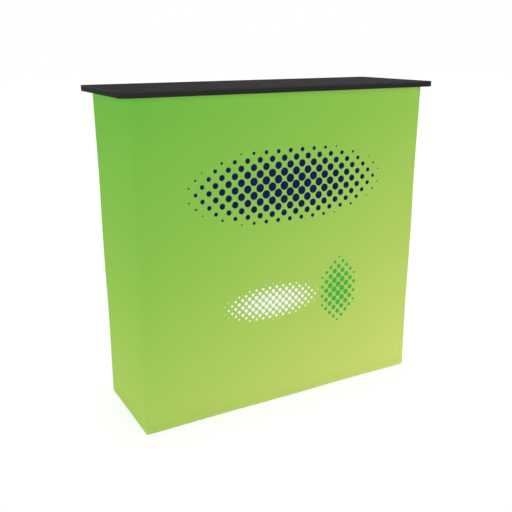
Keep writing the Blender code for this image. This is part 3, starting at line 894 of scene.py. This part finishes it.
def worktop_pads(finish):
    """Hook pads under the board, one over each top hub."""
    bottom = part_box("worktop_board")[0].z
    shape = bmesh.new()
    for layer in LAYERS:
        for column in COLUMNS:
            low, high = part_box(f"hub_{layer}_{column}_top")
            spot = Vector(((low.x + high.x) / 2, (low.y + high.y) / 2, bottom))
            half = Vector((PAD_SIDE / 2, (high.y - low.y) / 2, 0))
            add(shape, block(spot - half - Vector((0, 0, PAD_THICKNESS)), spot + half))
    piece("worktop_hook_pads", shape, "worktop", finish)


def hub_plate():
    """The hub's square plate about the hub's middle: rounded outside, with a raised rim inside."""
    half = HUB_SIDE / 2
    outer, inner = -FACE_TO_PIN, PLATE_THICKNESS - FACE_TO_PIN
    shape = block((-half, outer, -half), (half, inner, half))
    soften(shape, edges_along(shape, ACROSS), PLATE_CORNER, segments=8)
    soften(shape, rim_edges(shape, ACROSS, outer), PLATE_EDGE, segments=4)
    inside = [face for face in shape.faces if face.normal.y > FLAT_ON and len(face.verts) > 4]
    bmesh.ops.inset_region(shape, faces=inside, thickness=PLATE_RIM, depth=0)
    bmesh.ops.inset_region(shape, faces=inside, thickness=PLATE_RECESS / 2, depth=-PLATE_RECESS)
    return shape


def hub_boss():
    """The bored boss in the middle of a hub, where a lock post plugs in."""
    floor = BOSS_REACH - BOSS_DEPTH
    profile = [
        (0, HUB_ROOT),
        (BOSS_RADIUS, HUB_ROOT),
        (BOSS_RADIUS, BOSS_REACH - CHEEK_EDGE),
        (BOSS_RADIUS - CHEEK_EDGE, BOSS_REACH),
        (BOSS_BORE + CHEEK_EDGE, BOSS_REACH),
        (BOSS_BORE, BOSS_REACH - CHEEK_EDGE),
        (BOSS_BORE, floor),
        (0, floor),
    ]
    shape = turned(profile)
    move(shape, UPRIGHT_TO_BACK)
    return shape


def clevis():
    """Two cheeks on the right of a hub, joined to its boss by webs, with the strut's lane between them."""
    shape = bmesh.new()
    gap = FITTING_THICKNESS / 2 + SEAT_GAP
    for low in (-LANE - gap - CHEEK_THICKNESS, -LANE + gap):
        cheek = block(
            (PIN_REACH - CHEEK_RADIUS, HUB_ROOT, low),
            (PIN_REACH + CHEEK_RADIUS, CHEEK_RADIUS, low + CHEEK_THICKNESS),
        )
        crown = [edge for edge in edges_along(cheek, UP) if edge.verts[0].co.y > 0]
        soften(cheek, crown, CHEEK_RADIUS - TINY, segments=10)
        flat = rim_edges(cheek, UP, low) + rim_edges(cheek, UP, low + CHEEK_THICKNESS)
        soften(cheek, flat, CHEEK_EDGE)
        add(shape, cheek)
        web = block(
            (BOSS_RADIUS - WEB_OVERLAP, HUB_ROOT, low),
            (PIN_REACH - CHEEK_RADIUS + WEB_OVERLAP, 0, low + CHEEK_THICKNESS),
        )
        soften(web, rim_edges(web, ACROSS, 0), CHEEK_EDGE)
        add(shape, web)
    return shape


def headed_pin(low, high, rim, head, steps):
    """A pin between two levels of Z, with a low domed head past each."""
    crown = RIVET_HEAD_RADIUS - CHEEK_EDGE
    dome = [(rim, 0), (crown, head / 2), (crown / 2, head), (0, head)]
    profile = [(radius, low - height) for radius, height in reversed(dome)]
    profile += [(RIVET_RADIUS, low), (RIVET_RADIUS, high)]
    profile += [(radius, high + height) for radius, height in dome]
    return turned(profile, steps=steps)


def clevis_pin():
    """A headed pin through the clevis on the right of a hub."""
    reach = FITTING_THICKNESS / 2 + SEAT_GAP + CHEEK_THICKNESS
    rim = RIVET_HEAD_RADIUS - CHEEK_EDGE / 2
    shape = headed_pin(-reach, reach, rim, RIVET_HEAD_HEIGHT - SEAT_GAP, PIN_STEPS)
    move(shape, Matrix.Translation((PIN_REACH, 0, -LANE)))
    return shape


def used_sides(layer, column, row):
    """The sides of a hub with a clevis, in the hub's own frame. The lowest takes a strut or a foot."""
    used = ["bottom", *(side for side in ("left", "right") if side != column)]
    if row != "top":
        used.append("top")
    return [OPPOSITE[side] for side in used] if layer == "back" else used


def hub_place(layer, column, row):
    """Where a hub stands: a back hub is a front hub turned half round."""
    turn = Matrix.Rotation(0 if layer == "front" else math.pi, 4, "Z")
    return Matrix.Translation(hub_centre(layer, column, row)) @ turn


def build_hub(layer, column, row, nylon, steel):
    """A hub's moulding, with a clevis on each side in use, and the pins of its clevises."""
    node = f"hub_{layer}_{column}_{row}"
    place = hub_place(layer, column, row)
    moulding = bmesh.new()
    pins = bmesh.new()
    add(moulding, hub_plate())
    add(moulding, hub_boss())
    for side in used_sides(layer, column, row):
        turn = Matrix.Rotation(-HUB_TURNS[side] * QUARTER, 4, "Y")
        add(moulding, clevis(), turn)
        add(pins, clevis_pin(), turn)
    for shape in (moulding, pins):
        move(shape, place)
    piece(node + "_moulding", moulding, node, nylon, slot="hub_plastic", replaces=node)
    piece(node + "_pins", pins, node, steel)


def build_back_pad(row, finish):
    """The hook pad on the outside of a back hub in the middle column, which grips a back panel."""
    low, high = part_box(f"hub_back_centre_{row}")
    middle = (low + high) / 2
    half = PAD_SIDE / 2
    shape = block(
        (middle.x - half, high.y, middle.z - half),
        (middle.x + half, high.y + BACK_PAD_THICKNESS, middle.z + half),
    )
    soften(shape, edges_along(shape, ACROSS), FOOT_CORNER, segments=6)
    soften(shape, rim_edges(shape, ACROSS, high.y + BACK_PAD_THICKNESS), CHEEK_EDGE)
    piece(f"back_pad_{row}", shape, f"hub_back_centre_{row}", finish)


def strut_tube(half):
    """The flat tube of a strut, with its place along the length kept for its grain."""
    reach = half - FITTING_LENGTH + TUBE_WIDTH
    shape = block((-reach, -TUBE_WIDTH / 2, -TUBE_THICKNESS / 2), (reach, TUBE_WIDTH / 2, TUBE_THICKNESS / 2))
    soften(shape, edges_along(shape, ALONG), TUBE_EDGE, segments=4)
    layer = shape.loops.layers.uv.new("length")
    for face in shape.faces:
        for loop in face.loops:
            loop[layer].uv = (loop.vert.co.x, loop.vert.co.y + loop.vert.co.z)
    return shape


def strut_fitting(half):
    """The moulded end of a strut: a grooved sleeve over the tube, a neck, and the eye round its pin."""
    shape = bmesh.new()
    sleeve_start = half - FITTING_LENGTH
    sleeve_end = half - 2 * EYE_RADIUS
    sleeve = block(
        (sleeve_start, -EYE_RADIUS, -FITTING_THICKNESS / 2),
        (sleeve_end, EYE_RADIUS, FITTING_THICKNESS / 2),
    )
    soften(sleeve, sleeve.edges[:], FITTING_EDGE, segments=3)
    for groove in range(GROOVES):
        centre = sleeve_start + (groove + 1) * GROOVE_PITCH
        levels = [centre + GROOVE_WIDTH * share for share in (-0.5, -0.25, 0.25, 0.5)]
        for level in levels:
            cut_across(sleeve, ALONG, level)
        floor = [vert for vert in sleeve.verts if levels[1] - TINY < vert.co.x < levels[2] + TINY]
        shrink = Vector((1, 1 - GROOVE_DEPTH / EYE_RADIUS, 1 - 2 * GROOVE_DEPTH / FITTING_THICKNESS))
        bmesh.ops.scale(sleeve, vec=shrink, verts=floor)
    add(shape, sleeve)
    neck = block(
        (sleeve_end - WEB_OVERLAP, -NECK_WIDTH / 2, -NECK_THICKNESS / 2),
        (half - NECK_REACH, NECK_WIDTH / 2, NECK_THICKNESS / 2),
    )
    soften(neck, edges_along(neck, ALONG), FITTING_EDGE, segments=3)
    add(shape, neck)
    rise = FITTING_THICKNESS / 2
    eye = [
        (EYE_BORE, -rise),
        (EYE_RADIUS - CHEEK_EDGE, -rise),
        (EYE_RADIUS, CHEEK_EDGE - rise),
        (EYE_RADIUS, rise - CHEEK_EDGE),
        (EYE_RADIUS - CHEEK_EDGE, rise),
        (EYE_BORE, rise),
    ]
    add(shape, turned(eye, ring=True), Matrix.Translation((half, 0, 0)))
    return shape


def crossing_spacer():
    """The nylon washer between the two tubes of a crossing."""
    low = TUBE_THICKNESS / 2
    high = 2 * LANE - TUBE_THICKNESS / 2 - SEAT_GAP
    profile = [
        (RIVET_RADIUS, low),
        (SPACER_RADIUS - CHEEK_EDGE, low),
        (SPACER_RADIUS, low + CHEEK_EDGE),
        (SPACER_RADIUS, high - CHEEK_EDGE),
        (SPACER_RADIUS - CHEEK_EDGE, high),
        (RIVET_RADIUS, high),
    ]
    return turned(profile, ring=True)


def crossing_rivet():
    """The rivet through both tubes of a crossing, with a domed head at each end."""
    low = -TUBE_THICKNESS / 2
    high = 2 * LANE + TUBE_THICKNESS / 2 + SEAT_GAP
    return headed_pin(low, high, RIVET_HEAD_RADIUS, RIVET_HEAD_HEIGHT, RIVET_STEPS)


def build_strut(family, line, bay, reaches, tube, nylon, steel):
    """A strut's tube and ends. The strut that reaches the back also carries the rivet of its crossing."""
    node = f"{family}_strut_{line}_{bay}_to_{reaches}"
    first, second = strut_ends(family, line, bay, reaches)
    half = (second - first).length / 2
    place = strut_place(family, first, second)
    ends = strut_fitting(half)
    add(ends, strut_fitting(half), Matrix.Rotation(math.pi, 4, "Z"))
    parts = [("tube", strut_tube(half), tube), ("ends", ends, nylon)]
    if reaches == "back":
        parts += [("spacer", crossing_spacer(), nylon), ("rivet", crossing_rivet(), steel)]
    for kind, shape, finish in parts:
        move(shape, place)
        stands_for = {"slot": "strut_aluminium", "replaces": node} if kind == "tube" else {}
        piece(f"{node}_{kind}", shape, node, finish, **stands_for)


def build_post(layer, column, plastic, magnet_finish):
    """A lock post and the magnet in its tip, halfway between the layers."""
    body = f"hub_{layer}_{column}_middle"
    node = f"lock_post_{layer}_{column}"
    low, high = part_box(node)
    hub_depth = hub_centre(layer, column, "middle").y
    seat = BOSS_REACH + SEAT_GAP
    tip = high.y - hub_depth if layer == "front" else hub_depth - low.y
    shoulder = seat + POST_FLANGE
    cup = tip - POST_TIP_LENGTH
    spigot = BOSS_BORE - SEAT_GAP
    profile = [
        (0, seat - SPIGOT_LENGTH),
        (spigot, seat - SPIGOT_LENGTH),
        (spigot, seat),
        (POST_FLANGE_RADIUS - CHEEK_EDGE, seat),
        (POST_FLANGE_RADIUS, seat + CHEEK_EDGE),
        (POST_FLANGE_RADIUS, shoulder - CHEEK_EDGE),
        (POST_FLANGE_RADIUS - CHEEK_EDGE, shoulder),
        (POST_RADIUS + CHEEK_EDGE, shoulder),
        (POST_RADIUS, shoulder + CHEEK_EDGE),
        (POST_RADIUS, cup - POST_TAPER),
        (POST_TIP_RADIUS, cup),
        (POST_TIP_RADIUS, tip - POST_EDGE),
        (POST_TIP_RADIUS - POST_EDGE / 2, tip - POST_EDGE / 4),
        (POST_TIP_RADIUS - POST_EDGE, tip),
        (MAGNET_RADIUS + MAGNET_GAP, tip),
        (MAGNET_RADIUS + MAGNET_GAP, tip - MAGNET_DEPTH),
        (0, tip - MAGNET_DEPTH),
    ]
    disc = [
        (0, tip - MAGNET_DEPTH + MAGNET_GAP),
        (MAGNET_RADIUS, tip - MAGNET_DEPTH + MAGNET_GAP),
        (MAGNET_RADIUS, tip - CHEEK_EDGE),
        (MAGNET_RADIUS - CHEEK_EDGE, tip - MAGNET_GAP),
        (0, tip - MAGNET_GAP),
    ]
    place = hub_place(layer, column, "middle") @ UPRIGHT_TO_BACK
    post, magnet = turned(profile), turned(disc)
    for shape in (post, magnet):
        move(shape, place)
    piece(node + "_body", post, body, plastic, slot="lock_plastic", replaces=node)
    piece(node + "_magnet", magnet, body, magnet_finish)


def build_foot(layer, column, rubber):
    """A rubber foot: the pad under its hub, with round corners and an eased sole."""
    node = f"foot_{layer}_{column}"
    low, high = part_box(node)
    hub_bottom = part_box(f"hub_{layer}_{column}_bottom")[0].z
    shape = block(low, (high.x, high.y, hub_bottom - SEAT_GAP))
    soften(shape, edges_along(shape, UP), FOOT_CORNER, segments=8)
    soften(shape, rim_edges(shape, UP, low.z), FOOT_EDGE, segments=3)
    middle = hub_centre(layer, column, "bottom")
    side = -1 if layer == "front" else 1
    lane = middle.x + side * LANE
    half = Vector((FITTING_THICKNESS / 2, NECK_WIDTH / 2, 0))
    start = Vector((lane, middle.y, hub_bottom - SEAT_GAP - WEB_OVERLAP))
    tongue = block(start - half, Vector((lane, middle.y, high.z)) + half)
    soften(tongue, rim_edges(tongue, UP, high.z), CHEEK_EDGE)
    add(shape, tongue)
    piece(node + "_pad", shape, f"hub_{layer}_{column}_bottom", rubber, slot="foot_rubber", replaces=node)


def build_studio():
    """The floor, an even light from overhead, and weak lamps to the left and behind."""
    shape = bmesh.new()
    bmesh.ops.create_grid(shape, x_segments=1, y_segments=1, size=FLOOR_SIDE / 2)
    move(shape, Matrix.Translation((0, 0, cad_box[0].z - FLOOR_DROP)))
    in_scene("floor", as_mesh("floor", shape, studio_floor()))
    overhead = bpy.data.lights.new("overhead", "SUN")
    overhead.energy = OVERHEAD_LEVEL * math.pi
    overhead.angle = OVERHEAD_SPREAD
    in_scene("overhead", overhead)
    for name, place, watts in (("side", SIDE_PLACE, SIDE_WATTS), ("back", BACK_PLACE, BACK_WATTS)):
        light = bpy.data.lights.new(name, "AREA")
        light.shape = "SQUARE"
        light.size = LAMP_SIDE
        light.energy = watts
        lamp = in_scene(name, light)
        lamp.location = place
        lamp.rotation_euler = (LIT_POINT - place).to_track_quat("-Z", "Y").to_euler()


def build_sky():
    """White to the camera and in gloss. The light that falls on the counter comes from low, all round it."""
    world = bpy.data.worlds.new("studio")
    bpy.context.scene.world = world
    world.use_nodes = True
    sky = Wiring(world.node_tree)
    height = sky.node("SeparateXYZ", sky.node("TexCoord").outputs["Generated"]).outputs["Z"]
    edges = (SKY_BAND_FOOT, SKY_BAND_HEAD, SKY_LEVEL_LOW, SKY_LEVEL_HIGH)
    band = sky.node("MapRange", height, *edges, interpolation_type="SMOOTHSTEP")
    level = sky.node("MapRange", sky.seen(), 0.0, 1.0, band.outputs["Result"], 1.0)
    background = sky.nodes["Background"]
    background.inputs["Color"].default_value = (1.0, 1.0, 1.0, 1.0)
    sky.feed(background.inputs["Strength"], level.outputs["Result"])


def build_camera():
    """The camera, turned to the right, dipped, and rolled a little about its own axis."""
    ahead = math.cos(CAMERA_DIP)
    forward = Vector((-math.sin(CAMERA_TURN) * ahead, math.cos(CAMERA_TURN) * ahead, -math.sin(CAMERA_DIP)))
    right = forward.cross(Vector((0, 0, 1))).normalized()
    up = right.cross(forward)
    lens_right = math.cos(CAMERA_ROLL) * right + math.sin(CAMERA_ROLL) * up
    lens_up = math.cos(CAMERA_ROLL) * up - math.sin(CAMERA_ROLL) * right
    data = bpy.data.cameras.new("camera")
    data.lens = CAMERA_LENS_MM
    data.sensor_width = CAMERA_SENSOR_MM
    camera = in_scene("camera", data)
    axes = Matrix((lens_right, lens_up, -forward)).transposed().to_4x4()
    camera.matrix_world = Matrix.Translation(CAMERA_PLACE) @ axes
    bpy.context.scene.camera = camera


def build_counter():
    """All the pieces of the counter, each with its finish."""
    black_nylon = moulded_nylon("black_moulded_nylon", ink(30, 30, 32), ink(46, 46, 49), 0.5)
    grey_nylon = moulded_nylon("grey_moulded_nylon", ink(98, 101, 105), ink(118, 121, 125), 0.45)
    steel = bright_steel("rivet_steel", 0.3)
    magnet = bright_steel("magnet_nickel", 0.2)
    tube = anodised_tube()
    rubber = sole_rubber()
    loop_tape = hook_tape("loop_tape", ink(34, 34, 36), ink(52, 52, 55))
    hook_pads = hook_tape("hook_pads", ink(22, 22, 23), ink(38, 38, 40))

    skin = stretch_skin(printed_cloth(), cloth_reverse())
    stitches = hem_stitches(sewing_thread())
    tape = sewn_tape(loop_tape)

    board = frame["nodes"]["worktop_board"].data
    board.materials.clear()
    board.materials.append(worktop_laminate())
    edge_band(edge_banding())
    worktop_pads(hook_pads)

    for layer in LAYERS:
        for column in COLUMNS:
            for row in ROWS:
                build_hub(layer, column, row, black_nylon, steel)
            build_post(layer, column, grey_nylon, magnet)
            build_foot(layer, column, rubber)
    for row in ROWS:
        build_back_pad(row, hook_pads)
    for reaches in LAYERS:
        for row in ROWS:
            for bay in ("left", "right"):
                build_strut("level", row, bay, reaches, tube, black_nylon, steel)
        for column in COLUMNS:
            for bay in ("lower", "upper"):
                build_strut("upright", column, bay, reaches, tube, black_nylon, steel)


bpy.context.scene.view_settings.view_transform = "Standard"
build_counter()
build_studio()
build_sky()
build_camera()

bpy.context.view_layer.update()
